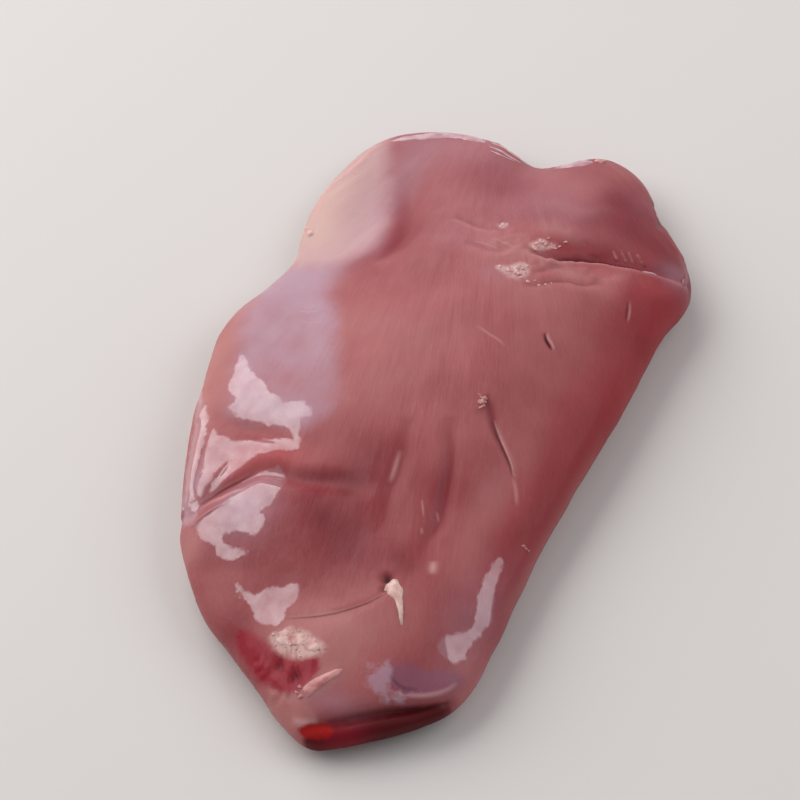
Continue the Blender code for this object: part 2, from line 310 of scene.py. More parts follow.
# Soft washes of colour: place, amount, spread across and along; tone above 0 is deeper meat, below 0 paler
washes = {
    "tone": [
        # The first two spots deepen the right flank: partly deeper meat, partly painted shade on the side
        # turned from the light
        ((980, 200), 0.5, (10, 45)), ((980, -300), 0.45, (11, 34)), ((0, -500), 0.36, (24, 14)),
        ((450, -400), 0.14, (16, 20)), ((620, 780), 0.32, (13, 12)), ((950, 480), 0.45, (7, 9)),
        ((700, 300), 0.06, (12, 30)), ((330, -750), -0.8, (12, 8)), ((-300, 750), -0.06, (20, 20)),
        ((-450, -620), 0.2, (10, 12)), ((620, -720), 0.35, (12, 12)), ((860, 680), 0.3, (8, 8)),
        ((-930, -20), -0.45, (4, 22)), ((320, -950), -0.6, (6, 3)), ((150, -220), 0.18, (12, 10)),
        ((50, 780), 0.16, (18, 12)), ((180, 480), -0.3, (9, 8)), ((-520, -660), -0.5, (4, 6)),
        ((20, -370), 0.15, (8, 4)), ((740, -180), -0.18, (4, 8)), ((970, -660), -0.35, (4, 8)),
        ((500, -300), 0.12, (6, 14)), ((90, -330), 0.18, (6, 5)), ((760, -110), -0.15, (4, 7)),
        ((360, 580), -0.25, (7, 4)), ((540, 540), -0.15, (5, 4)), ((425, 0), -0.15, (3, 4)),
        ((-380, 30), -0.12, (4, 10)), ((460, 50), 0.2, (8, 10)), ((710, -360), -0.3, (7, 14)),
        ((570, -660), -0.28, (8, 9)), ((740, 130), -0.14, (6, 12)), ((270, 280), -0.1, (9, 9)),
        ((860, 560), -0.35, (5, 4)), ((10, -230), 0.18, (8, 6)), ((515, -510), 0.28, (5, 4)),
        ((-30, -700), 0.22, (6, 4)), ((230, -660), 0.18, (8, 4)), ((-250, 760), 0.14, (16, 14)),
        ((-460, -420), -0.3, (6, 4)), ((-330, -360), -0.2, (6, 3)), ((-340, 450), 0.15, (4, 8)),
        ((290, 780), -0.3, (7, 6)), ((-100, 550), 0.09, (32, 28)), ((890, -300), 0.16, (5, 8)),
        ((510, -270), 0.12, (3.5, 6)), ((90, -460), 0.1, (8, 6)), ((-400, -690), 0.08, (6, 5)),
        ((520, 465), -0.27, (7, 3)), ((370, 600), -0.22, (5, 3)), ((460, 432), 0.1, (3, 2)),
        ((720, 490), -0.2, (5, 4)), ((480, 560), -0.15, (6, 2)), ((830, 580), 0.12, (4, 4)),
        ((465, 824), 0.12, (8, 7)), ((-90, -790), 0.35, (5, 5)),
    ],
    "flush": [
        ((-430, 450), 0.5, (3.5, 8)), ((-500, 300), 0.45, (7, 3)), ((200, -840), 0.35, (14, 9)),
        ((-550, -720), 0.3, (12, 10)), ((930, 480), 0.6, (5, 6)), ((60, -870), 0.45, (6, 4)),
        ((400, 560), 0.55, (8, 3.5)), ((580, 610), 0.5, (7, 3)), ((620, 740), 0.35, (10, 9)),
        ((-60, -800), 0.5, (5, 4)), ((300, -930), 0.25, (4, 3)),
    ],
    "blush": [
        ((950, 120), 0.45, (8, 42)), ((930, 510), 0.4, (6, 8)), ((950, -350), 0.2, (6, 14)),
        ((-460, -430), 0.45, (4, 5)), ((-340, -345), 0.45, (7, 4)), ((420, 555), 0.65, (8, 3)),
    ],
    "cream": [((-920, 580), 0.7, (6, 16)), ((-820, 420), 0.45, (7, 8))],
    "filmThin": [((-450, -120), 0.3, (14, 7))],
    "tan": [
        ((-900, -60), 0.42, (3, 6)), ((-820, -150), 0.32, (3, 6)), ((-770, -230), 0.25, (3, 5)),
        ((-530, -620), 0.35, (3.5, 4)), ((-450, -670), 0.12, (4, 3)), ((300, -940), 0.35, (5, 2.5)),
        ((985, -20), 0.22, (1.3, 9)), ((985, -200), 0.25, (1.3, 11)), ((990, -380), 0.25, (1.3, 9)),
    ],
    "redRun": [((580, -950), 0.6, (7, 4))],
    "creased": [
        ((500, 500), 0.55, (9, 3.5)), ((360, 460), 0.45, (6, 4)), ((150, 510), 0.4, (9, 4)),
        ((500, 610), 0.45, (10, 3)), ((50, 560), 0.25, (8, 4)), ((-620, -500), 0.2, (5, 7)),
        ((470, -30), 0.35, (3, 4)),
    ],
    "violet": [
        ((-550, 860), 0.22, (16, 6)), ((-720, 500), 0.4, (4, 16)), ((-600, 560), 0.35, (3, 12)),
        ((-510, 420), 0.3, (3, 6)), ((-620, 400), 0.2, (5, 6)), ((-660, 270), 0.35, (5, 4)),
        ((-610, 310), 0.3, (4, 3)), ((-630, 760), 0.25, (4, 8)), ((910, 650), 0.4, (4, 4)),
        ((880, -560), 0.2, (5, 12)), ((970, -300), 0.06, (3, 28)), ((-780, 280), 0.3, (8, 6)),
        ((620, 860), 0.1, (6, 5)), ((500, -900), 0.35, (9, 3)), ((-640, -500), 0.45, (3.5, 8)),
        # The spot at (-330, -520) pales the base under the lower shine patch: partly film, partly painted
        # highlight
        ((-930, 360), 0.3, (5, 8)), ((-840, 250), 0.35, (7, 6)), ((-330, -520), 0.52, (7, 7)),
        ((280, -520), 0.05, (6, 6)), ((20, 660), 0.13, (28, 24)), ((220, 700), 0.1, (8, 7)),
        ((170, 370), 0.1, (5, 3)), ((-120, 470), 0.09, (6, 4)),
    ],
}

def smoothCurve(points, closed, steps):
    p = np.array(points, float)
    if closed:
        p = np.vstack([p[-1], p, p[0], p[1]])
    else:
        p = np.vstack([2 * p[0] - p[1], p, 2 * p[-1] - p[-2]])
    t = np.linspace(0, 1, steps, endpoint=False)[:, None]
    spans = []
    for a, b, c, d in zip(p[:-3], p[1:-2], p[2:-1], p[3:]):
        square = 2 * a - 5 * b + 4 * c - d
        cube = 3 * b - 3 * c + d - a
        spans.append(b + 0.5 * ((c - a) * t + square * t**2 + cube * t**3))
    if not closed:
        spans.append(p[-2][None])
    return np.vstack(spans)


def inMm(places):
    return np.array(places, float) / 1000 * (breast["width"] / 2, breast["length"] / 2)


edge = smoothCurve(inMm(breast["outline"]), closed=True, steps=12)
edgeAngles = np.arctan2(edge[:, 1], edge[:, 0])
edgeOrder = np.argsort(edgeAngles)
edgeTable = (edgeAngles[edgeOrder], np.hypot(edge[:, 0], edge[:, 1])[edgeOrder])


def edgeRadius(angle):
    return np.interp(angle, *edgeTable, period=2 * math.pi)


def flankAt(angle):
    degrees, heights, squareness = zip(*breast["flank"])
    turned = np.degrees(angle)
    return np.interp(turned, degrees, heights), np.interp(turned, degrees, squareness)


def spot(x, y, place, spread):
    cx, cy = inMm(place)
    return np.exp(-(((x - cx) / spread[0]) ** 2) - ((y - cy) / spread[1]) ** 2)


# Height of the plain upper side over a place
def upperHeight(x, y):
    angle = np.arctan2(y, x)
    share = np.minimum(np.hypot(x, y) / edgeRadius(angle), 1)
    height, squareness = flankAt(angle)
    lobes = sum(rise * spot(x, y, place, spread) for place, rise, spread in breast["lobes"])
    thickness = breast["bodyThickness"] + lobes
    return height + (thickness - height) * np.sqrt(1 - share**squareness)


def lowerHeight(share, angle):
    rise = 1 - np.sqrt(np.clip(1 - share ** breast["edgeSquareness"], 0, 1))
    return np.maximum(flankAt(angle)[0] * rise - breast["pressed"], 0)


# Distance to a path within reach, the signed distance in plan (right of the path above 0),
# the share along the path and the way from the path's nearest point
def nearestOn(path, points, reach):
    away = np.full(len(points), np.inf)
    side = np.zeros(len(points))
    along = np.zeros(len(points))
    way = np.zeros(points.shape)
    low, high = path.min(axis=0) - reach, path.max(axis=0) + reach
    near = np.flatnonzero(np.all((points > low) & (points < high), axis=1))
    close = points[near]
    for i, (a, b) in enumerate(zip(path[:-1], path[1:])):
        span = b - a
        t = np.clip(((close - a) @ span) / (span @ span), 0, 1)
        offset = close - a - t[:, None] * span
        gap = np.linalg.norm(offset, axis=1)
        nearer = gap < away[near]
        chosen = near[nearer]
        away[chosen] = gap[nearer]
        way[chosen] = offset[nearer]
        turned = (offset[:, 0] * span[1] - offset[:, 1] * span[0]) / math.hypot(span[0], span[1])
        side[chosen] = turned[nearer]
        along[chosen] = ((i + t) / (len(path) - 1))[nearer]
    return away, side, along, way


# How far inside an outline each place lies; outside is below 0
def insideBy(outline, x, y):
    ring = smoothCurve(inMm(outline), closed=True, steps=5)
    away = np.full(x.shape, np.inf)
    inside = np.zeros(x.shape, bool)
    for a, b in zip(ring, np.roll(ring, -1, axis=0)):
        span = b - a
        t = np.clip(((x - a[0]) * span[0] + (y - a[1]) * span[1]) / (span @ span), 0, 1)
        away = np.minimum(away, np.hypot(x - a[0] - t * span[0], y - a[1] - t * span[1]))
        crosses = (a[1] > y) != (b[1] > y)
        if abs(span[1]) > 1e-9:
            inside ^= crosses & (x < a[0] + (y - a[1]) * span[0] / span[1])
    return np.where(inside, away, -away)


def onTop(places):
    flat = smoothCurve(inMm(places), closed=False, steps=8)
    angle = np.arctan2(flat[:, 1], flat[:, 0])
    over = np.maximum(np.hypot(flat[:, 0], flat[:, 1]) / (edgeRadius(angle) * 0.999), 1)
    flat = flat / over[:, None]
    return np.column_stack([flat, upperHeight(flat[:, 0], flat[:, 1])])


def noiseAt(points, sizes):
    scaled = points / np.array(sizes)
    return np.array([noise.noise(Vector(p)) for p in scaled])


# Across the fibres, along them and up: the fibres fan out from their apex
def fibreCoordinates(points):
    apex = inMm(breast["fibreApex"])
    dx, dy = points[:, 0] - apex[0], points[:, 1] - apex[1]
    meanReach = breast["length"] * 0.6
    return np.column_stack([np.arctan2(dx, -dy) * meanReach, np.hypot(dx, dy), points[:, 2]])


def buildCage():
    bm = bmesh.new()
    bmesh.ops.create_cube(bm, size=2)
    for axis, cuts in enumerate(breast["cuts"]):
        along = [e for e in bm.edges if abs(e.verts[0].co[axis] - e.verts[1].co[axis]) > 1]
        bmesh.ops.subdivide_edges(bm, edges=along, cuts=cuts, use_grid_fill=True)
    return bm


def moveTo(bm, points):
    for vert, point in zip(bm.verts, points * mm):
        vert.co = point
    bm.normal_update()
    return np.array([v.normal for v in bm.verts])


# Draws the cage's lines together along the narrow folds, so that these come out crisp
def gather(x, y, upper):
    flat = np.column_stack([x, y, np.zeros(len(x))])
    reach, strength = breast["gather"]
    narrow = [fold[0] for fold in folds.values() if fold[2] < breast["narrowFold"]]
    for path in narrow:
        line = smoothCurve(np.column_stack([inMm(path), np.zeros(len(path))]), closed=False, steps=8)
        away, side, along, way = nearestOn(line, flat, reach * 2)
        pull = strength * np.exp(-((away / reach) ** 2)) * np.sin(math.pi * along) ** 0.5 * upper
        pull[~np.isfinite(away)] = 0
        pull[pull <= 0.001] = 0
        flat -= way * pull[:, None]
    return flat[:, 0], flat[:, 1]


# The cage blown up to a ball and pressed to the plain breast
def drawOut(bm):
    ball = np.tan(np.array([v.co for v in bm.verts]) * math.pi / 4)
    ball /= np.linalg.norm(ball, axis=1)[:, None]
    angle = np.arctan2(ball[:, 1] * breast["length"], ball[:, 0] * breast["width"])
    turn = np.arccos(np.clip(ball[:, 2], -1, 1)) / math.pi
    upper = turn < breast["lowerTurns"][0][0]
    upperShare, lowerShare = (np.interp(turn, *zip(*breast[name])) for name in ("upperTurns", "lowerTurns"))
    share = np.where(upper, upperShare, lowerShare)
    reach = share * edgeRadius(angle)
    x, y = gather(reach * np.cos(angle), reach * np.sin(angle), upper & (share < 0.97))
    z = np.where(upper, upperHeight(x, y), lowerHeight(share, angle))
    return np.column_stack([x, y, z]), upper, share


# How deep the folds and pits press in at each point, and the flush, the painted shade and the pale crown
# (partly painted highlight) they carry
def foldMarks(points):
    marks = {name: np.zeros(len(points)) for name in ("flushFold", "hollowShade", "crownAndHighlight")}
    depth = np.zeros(len(points))
    for path, deep, width, lip, flush, hollowShade, crownAndHighlight in folds.values():
        away, side, along, way = nearestOn(onTop(path), points, width * 5 + 2)
        fade = np.sin(math.pi * along) ** 0.7
        groove = np.exp(-((away / width) ** 2)) * fade
        reach = np.exp(-((away / (4 * width)) ** 2)) * fade
        depth += deep * groove - lip * np.exp(-(((side - 1.5 * width) / width) ** 2)) * reach
        narrow = np.exp(-(((side - 1.3 * width) / (0.5 * width + 0.15)) ** 2)) * reach
        marks["flushFold"] = np.maximum(marks["flushFold"], flush * groove)
        marks["hollowShade"] = np.maximum(marks["hollowShade"], hollowShade * groove**2)
        marks["crownAndHighlight"] = np.maximum(marks["crownAndHighlight"], crownAndHighlight * (narrow if deep > 0 else groove))
    for place, deep, radius, hollowShade in pits:
        pit = onTop([place, (place[0] + 1, place[1])])[0]
        hollow = np.exp(-((np.linalg.norm(points - pit, axis=1) / radius) ** 2))
        depth += deep * hollow
        marks["hollowShade"] = np.maximum(marks["hollowShade"], hollowShade * hollow)
    return depth, marks


# The signed distance to the nearest fine line, in its half widths, and how dark (painted shade) and how pale
# (painted highlight and pale scratches) it is
def lineMarks(points):
    marks = {name: np.zeros(len(points)) for name in ("lineSide", "lineShade", "linePaleAndHighlight")}
    marks["lineSide"] += 9
    closest = np.full(len(points), np.inf)
    for path, width, dark, pale in lines.values():
        away, side, along, way = nearestOn(onTop(path), points, 3)
        nearer = away < closest
        closest[nearer] = away[nearer]
        amount = np.sin(math.pi * along) ** 0.5 * np.clip(2 - away, 0, 1)
        marks["lineSide"][nearer] = np.sign(side[nearer]) * away[nearer] / width
        marks["lineShade"][nearer] = dark * amount[nearer]
        marks["linePaleAndHighlight"][nearer] = pale * amount[nearer]
    return marks


# How far inside the patches each point lies, and the washes; below the widest line the rim's colours
# run on down and under
def paintMarks(points, upper, share):
    outward = np.where(upper, 1, 1 / np.maximum(share, 0.75))
    x, y = points[:, 0] * outward, points[:, 1] * outward
    marks = {name: insideBy(outline, x, y) for name, outline in patches.items()}
    for name, outlines in (("froth", frothPatches), ("wet", wetPatches)):
        marks[name] = np.max([insideBy(outline, x, y) for outline in outlines.values()], axis=0)
    for name, spots in washes.items():
        marks[name] = sum(amount * spot(x, y, place, spread) for place, amount, spread in spots)
    return marks


# The swells are those of the solid; the ripples are the loose film's, longer along the fibres than across
def unevenness(points, normals, fibres, fields):
    lifted = np.clip(points[:, 2] / 2, 0, 1)
    swell = sum(noiseAt(points, (size,) * 3) * height for size, height in breast["swells"])
    points = points + normals * (swell * lifted)[:, None]
    ripple = sum(noiseAt(fibres + start, (across, along, across)) * height
                 for across, along, start, height in breast["ripples"])
    rough = fields["creased"]
    for name, (strength, over, start) in breast["rough"].items():
        rough = np.maximum(rough, strength * np.clip(fields[name] / over + start, 0, 1))
    (large, largeHeight), (small, smallHeight) = breast["lumps"]
    lumps = np.abs(noiseAt(points + 9, (large,) * 3)) * largeHeight
    lumps = lumps + noiseAt(points, (small,) * 3) * smallHeight - breast["lumpFloor"]
    fields["lumps"] = lumps
    calm = 1 - breast["calmWhereWet"] * np.clip(fields["wet"] / 2 + 0.5, 0, 1)
    return points + normals * ((ripple * calm + lumps * rough) * lifted)[:, None]


def toMesh(bm, name):
    mesh = bpy.data.meshes.new(name)
    bm.to_mesh(mesh)
    bm.free()
    mesh.shade_smooth()
    return mesh


def buildBreast():
    bm = buildCage()
    points, upper, share = drawOut(bm)
    normals = moveTo(bm, points)
    print("breast drawn out,", len(bm.verts), "points")

    depth, fields = foldMarks(points)
    fields.update(lineMarks(points))
    fields.update(paintMarks(points, upper, share))
    fibres = fibreCoordinates(points)
    points = points - normals * depth[:, None]
    normals = moveTo(bm, points)
    print("folds pressed in")

    points = unevenness(points, normals, fibres, fields)
    points[points[:, 2] < 0.02, 2] = 0
    middle = (points.min(axis=0) + points.max(axis=0)) / 2
    cadMiddle = np.array([(low + high) / 2 for low, high in zip(cadLow, cadHigh)]) / mm
    shift = (cadMiddle - middle) * (1, 1, 0)
    moveTo(bm, points + shift)
    number = bm.verts.layers.int.new("number")
    for i, vert in enumerate(bm.verts):
        vert[number] = i
    resting = [f for f in bm.faces if all(v.co.z <= 0 for v in f.verts)]
    bmesh.ops.dissolve_faces(bm, faces=resting, use_verts=False)
    kept = np.array([v[number] for v in bm.verts])
    bm.verts.layers.int.remove(number)
    mesh = toMesh(bm, "breastMeat")
    for name, values in fields.items():
        field = mesh.attributes.new(name, "FLOAT", "POINT")
        field.data.foreach_set("value", values[kept].astype(np.float32))
    fibreField = mesh.attributes.new("fibre", "FLOAT_VECTOR", "POINT")
    fibreField.data.foreach_set("vector", fibres[kept].astype(np.float32).ravel())
    print("breast modelled:", sum(len(face.vertices) - 2 for face in mesh.polygons), "triangles")
    return mesh, shift


# A colour as it is seen on a screen, 0 to 255, as Blender's linear colour
def tint(red, green, blue):
    seen = [c / 255 for c in (red, green, blue)]
    return tuple(c / 12.92 if c <= 0.04045 else ((c + 0.055) / 1.055) ** 2.4 for c in seen) + (1,)


def addNode(tree, kind, settings=None, inputs=None):
    made = tree.nodes.new(kind)
    for name, value in (settings or {}).items():
        setattr(made, name, value)
    for name, value in (inputs or {}).items():
        if isinstance(value, bpy.types.NodeSocket):
            tree.links.new(value, made.inputs[name])
        else:
            made.inputs[name].default_value = value
    return made


def maths(tree, operation, *values):
    return addNode(tree, "ShaderNodeMath", {"operation": operation}, dict(enumerate(values))).outputs[0]


def mixColour(tree, amount, underBloodShade, over):
    return addNode(tree, "ShaderNodeMix", {"data_type": "RGBA"}, {0: amount, 6: underBloodShade, 7: over}).outputs[2]


def attribute(tree, name, output="Fac"):
    return addNode(tree, "ShaderNodeAttribute", {"attribute_name": name}).outputs[output]


def noiseNode(tree, vector, scale, detail, roughness=0.5):
    inputs = {"Vector": vector, "Scale": scale, "Detail": detail, "Roughness": roughness}
    return addNode(tree, "ShaderNodeTexNoise", None, inputs).outputs["Fac"]


def mapRange(tree, value, start, end, toStart=0.0, toEnd=1.0, smooth=True):
    inputs = {"Value": value, "From Min": start, "From Max": end, "To Min": toStart, "To Max": toEnd}
    settings = {"interpolation_type": "SMOOTHSTEP" if smooth else "LINEAR"}
    return addNode(tree, "ShaderNodeMapRange", settings, inputs).outputs["Result"]


def addBump(tree, shader, height, distance):
    inputs = {"Height": height, "Strength": 1.0, "Distance": distance * mm}
    bump = addNode(tree, "ShaderNodeBump", None, inputs)
    tree.links.new(bump.outputs["Normal"], shader.inputs["Normal"])


def newGroup(name, inputs, outputs):
    group = bpy.data.node_groups.new(name, "ShaderNodeTree")
    for socketName, socketType in inputs.items():
        group.interface.new_socket(name=socketName, in_out="INPUT", socket_type=socketType)
    for socketName, socketType in outputs.items():
        group.interface.new_socket(name=socketName, in_out="OUTPUT", socket_type=socketType)
    return group, group.nodes.new("NodeGroupInput"), group.nodes.new("NodeGroupOutput")


# A patch's field turned into a mask with a torn edge
def buildRaggedEdge():
    inputs = dict.fromkeys(("Field", "Torn", "Softness", "Grain"), "NodeSocketFloat")
    group, given, out = newGroup("raggedEdge", inputs, {"Mask": "NodeSocketFloat"})
    field, tornBy, softness, grain = (given.outputs[name] for name in inputs)
    place = addNode(group, "ShaderNodeTexCoord").outputs["Object"]
    tear = maths(group, "SUBTRACT", noiseNode(group, place, grain, 4.0, 0.6), 0.5)
    shifted = maths(group, "MULTIPLY_ADD", tear, tornBy, field)
    mask = mapRange(group, shifted, maths(group, "MULTIPLY", softness, -1.0), softness)
    group.links.new(mask, out.inputs["Mask"])
    return group


# Fine streaks along the fibres
def buildMuscleGrain():
    group, given, out = newGroup("muscleGrain", {"Fibre": "NodeSocketVector"}, {"Streak": "NodeSocketFloat"})
    layers = []
    for across, along, detail in ((1.5, 0.10, 3.0), (4.0, 0.22, 2.0)):
        scaled = addNode(group, "ShaderNodeVectorMath", {"operation": "MULTIPLY"},
                         {0: given.outputs["Fibre"], 1: (across, along, across)}).outputs[0]
        layers.append(maths(group, "SUBTRACT", noiseNode(group, scaled, 1.0, detail, 0.55), 0.5))
    streak = maths(group, "ADD", layers[0], maths(group, "MULTIPLY", layers[1], 0.6))
    group.links.new(streak, out.inputs["Streak"])
    return group


raggedEdge = buildRaggedEdge()
muscleGrain = buildMuscleGrain()

meatLook = {
    "pale": tint(177, 115, 114), "muscle": tint(166, 95, 97), "deep": tint(140, 62, 67),
    "dark": tint(108, 36, 42), "film": tint(180, 148, 164), "tailFilm": tint(134, 86, 110),
    # The last colour on the next line is pale crest tissue, used also as painted highlight on lit lips and
    # crests
    "fat": tint(200, 164, 168), "cream": tint(208, 177, 167), "lip": tint(214, 168, 166),
    # The last colour on the next line, near black, is painted shade for grooves, pits and fine cuts
    "flush": tint(128, 34, 46), "blush": tint(182, 58, 62), "hollowShade": tint(52, 10, 16),
    "raw": tint(148, 16, 40), "blood": tint(158, 0, 2), "tan": tint(190, 134, 128),
    # The last colour on the next line is the tip's bloody underside, darkened as painted shade
    "pith": tint(216, 182, 176), "underBloodShade": tint(82, 4, 13),
}
meatStops = {"pale": 0.0, "muscle": 0.33, "deep": 0.72, "dark": 1.0}
meatEdges = {  # how far a patch spreads past its outline, how torn and soft its edge is, the tear's fineness
    "film": (0, 6.0, 3.6, 110), "tailFilm": (0, 2.5, 1.2, 260), "tailFilmHighlight": (0, 6.0, 1.0, 450),
    "fat": (0, 5.0, 3.8, 110), "raw": (0.8, 2.6, 0.9, 300), "underTailBloodShade": (0, 1.5, 1.0, 200),
    "bloodSpot": (0, 2.0, 0.5, 300), "froth": (0, 2.0, 0.8, 450), "wet": (0, 2.4, 0.35, 480),
}
meatFinish = {
    "roughness": 0.50,
    "mottle": (60, 5, 0.7),  # scale, detail and depth
    "streak": 0.20,
    "filmClouds": (90, 4, 0.62, 0.92),  # scale, detail, how thin and thick the film gets
    "wetClouds": (260, 5, 0.50, 0.96),  # the same for the wet shine
    "dampClouds": (45, 5, 0.0, 0.05),  # and for the faint damp elsewhere
    # How far the film colour pales the base inside the shine patches: partly film, partly painted highlight
    "wetFilmAndHighlight": 0.22,
    "wetBlood": 0.12,
    "bump": 0.09,
}


flesh = {
    "IOR": 1.38, "Specular IOR Level": 0.3, "Subsurface Weight": 0.35, "Subsurface Scale": 2.5 * mm,
    "Subsurface Radius": (1.0, 0.30, 0.22), "Coat Roughness": 0.08, "Coat IOR": 1.85,
}


def newMaterial(name, settings):
    material = bpy.data.materials.new(name)
    material.use_nodes = True
    shader = material.node_tree.nodes["Principled BSDF"]
    for socket, value in settings.items():
        shader.inputs[socket].default_value = value
    return material, material.node_tree, shader


def raggedMask(tree, name):
    spread, tornBy, softness, grain = meatEdges[name]
    field = attribute(tree, name)
    if spread:
        field = maths(tree, "ADD", field, spread)
    inputs = {"Field": field, "Torn": tornBy, "Softness": softness, "Grain": grain}
    return addNode(tree, "ShaderNodeGroup", {"node_tree": raggedEdge}, inputs).outputs["Mask"]


def clouds(tree, place, scale, detail, thin, thick):
    return mapRange(tree, noiseNode(tree, place, scale, detail), 0.35, 0.65, thin, thick, smooth=False)


# 1 at the centre, falling softly to 0 at the width
def bell(tree, value, centre, width):
    away = maths(tree, "ABSOLUTE", maths(tree, "SUBTRACT", value, centre))
    return mapRange(tree, away, width, 0.0)


# The bare muscle's colour: a ramp over its tone, mottled and streaked
def bareMeat(tree, place, streak):
    scale, detail, depth = meatFinish["mottle"]
    mottle = maths(tree, "SUBTRACT", noiseNode(tree, place, scale, detail), 0.5)
    tone = maths(tree, "MULTIPLY_ADD", mottle, depth, attribute(tree, "tone"))
    tone = maths(tree, "MULTIPLY_ADD", streak, meatFinish["streak"], tone)
    ramp = addNode(tree, "ShaderNodeValToRGB", None, {"Fac": maths(tree, "ADD", tone, meatStops["muscle"])})
    for position in list(meatStops.values())[1:-1]:
        ramp.color_ramp.elements.new(position)
    for element, (name, position) in zip(ramp.color_ramp.elements, meatStops.items()):
        element.position = position
        element.color = meatLook[name]
    return ramp.outputs["Color"]


def buildMeatMaterial():
    material, tree, shader = newMaterial("rawDuckMeat", flesh | {"Roughness": meatFinish["roughness"]})
    place = addNode(tree, "ShaderNodeTexCoord").outputs["Object"]
    fibre = attribute(tree, "fibre", "Vector")
    streak = addNode(tree, "ShaderNodeGroup", {"node_tree": muscleGrain}, {"Fibre": fibre}).outputs["Streak"]
    mask = {name: raggedMask(tree, name) for name in meatEdges}
    thick = clouds(tree, place, *meatFinish["filmClouds"])
    filmSeen = maths(tree, "SUBTRACT", thick, attribute(tree, "filmThin"))
    lumps = mapRange(tree, attribute(tree, "lumps"), -0.25, 0.10)
    pith = maths(tree, "MULTIPLY", mask["froth"], maths(tree, "MULTIPLY_ADD", lumps, 0.5, 0.5))
    flush = maths(tree, "ADD", attribute(tree, "flush"), attribute(tree, "flushFold"))
    side = attribute(tree, "lineSide")
    # Painted shade in the fine cuts and creases, and the pale beside them: painted highlight on the lit
    # lips, with the pale scratches
    lineShade = maths(tree, "MULTIPLY", bell(tree, side, 0.0, 1.5), attribute(tree, "lineShade"))
    linePaleAndHighlight = maths(tree, "MULTIPLY", bell(tree, side, 2.2, 1.6), attribute(tree, "linePaleAndHighlight"))
    linePaleAndHighlight = maths(tree, "MAXIMUM", linePaleAndHighlight, maths(tree, "MULTIPLY", lineShade, -1.0))

    # Colours laid one over the other, each with its mask and strength
    colour = bareMeat(tree, place, streak)
    for name, amount, strength in (
        ("blush", attribute(tree, "blush"), 1),
        ("tan", attribute(tree, "tan"), 1),
        ("film", mask["film"], filmSeen),
        ("tailFilm", mask["tailFilm"], thick),
        # The pale patch at the tail film's left, in film colour: painted highlight
        ("film", mask["tailFilmHighlight"], 0.7),
        ("film", attribute(tree, "violet"), 1),
        ("fat", mask["fat"], 0.80),
        ("cream", mask["fat"], attribute(tree, "cream")),
        ("flush", flush, 0.55),
        ("raw", mask["raw"], 0.88),
        ("pith", pith, 0.70),
        # The tip's bloody underside: its own dark red with painted shade
        ("underBloodShade", mask["underTailBloodShade"], 1),
        ("raw", attribute(tree, "redRun"), 1),
        # The lip colour on crests and lips and along the pale lines: partly paler tissue, partly painted
        # highlight
        ("lip", attribute(tree, "crownAndHighlight"), 1),
        ("lip", linePaleAndHighlight, 1),
        # Near black in the grooves, pits and fine cuts: painted shade
        ("hollowShade", attribute(tree, "hollowShade"), 0.85),
        ("hollowShade", lineShade, 1),
        ("blood", mask["bloodSpot"], 1),
        # Film colour under the shine patches: partly film, partly painted highlight
        ("film", mask["wet"], meatFinish["wetFilmAndHighlight"]),
    ):
        if strength != 1:
            amount = maths(tree, "MULTIPLY", amount, strength)
        colour = mixColour(tree, amount, colour, meatLook[name])
    tree.links.new(colour, shader.inputs["Base Color"])

    height = maths(tree, "MULTIPLY_ADD", mask["film"], 0.5, streak)
    addBump(tree, shader, maths(tree, "MULTIPLY_ADD", lineShade, -3.0, height), meatFinish["bump"])
    wet = maths(tree, "MULTIPLY", mask["wet"], clouds(tree, place, *meatFinish["wetClouds"]))
    wet = maths(tree, "MAXIMUM", wet, maths(tree, "MULTIPLY", mask["bloodSpot"], meatFinish["wetBlood"]))
    damp = clouds(tree, place, *meatFinish["dampClouds"])
    tree.links.new(maths(tree, "MAXIMUM", wet, damp), shader.inputs["Coat Weight"])
    return material


def addObject(name, content):
    made = bpy.data.objects.new(name, content)
    bpy.context.scene.collection.objects.link(made)
    return made


def addPiece(name, mesh, material, body="root"):
    piece = addObject(name, mesh)
    mesh.materials.append(material)
    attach(piece, body)
    return piece


breastMesh, breastShift = buildBreast()
breastPiece = addPiece("breastMeat", breastMesh, buildMeatMaterial())
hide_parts("duck_breast")


corners = [vert.co for vert in breastMesh.vertices]
surface = BVHTree.FromPolygons(corners, [face.vertices for face in breastMesh.polygons])
print("breast surface ready for the small pieces")


# The point and outward direction of the finished breast over a place; beyond the outline, the nearest
def surfacePoint(place):
    x, y = (inMm(place) + breastShift[:2]) * mm
    found, normal = surface.ray_cast(Vector((x, y, 0.1)), Vector((0, 0, -1)))[:2]
    if found is None:
        found, normal = surface.find_nearest(Vector((x, y, 0.006)))[:2]
    return found, normal


# Points along a path over the surface, each with its direction, its left and its outward direction
def pathFrames(path, steps):
    places = smoothCurve(path, closed=False, steps=8)
    ends = np.linspace(0, len(places) - 1, steps)
    places = np.column_stack([np.interp(ends, range(len(places)), places[:, i]) for i in (0, 1)])
    found = [surfacePoint(place) for place in places]
    frames = []
    for i in range(steps):
        ahead, behind = found[min(i + 1, steps - 1)][0], found[max(i - 1, 0)][0]
        along = (ahead - behind).normalized()
        outward = sum((found[j][1] for j in range(max(i - 2, 0), min(i + 3, steps))), Vector())
        outward = (outward - along * outward.dot(along)).normalized()
        frames.append((found[i][0], along, outward.cross(along), outward))
    return frames


def finishMesh(bm, name):
    bmesh.ops.recalc_face_normals(bm, faces=bm.faces[:])
    return toMesh(bm, name)


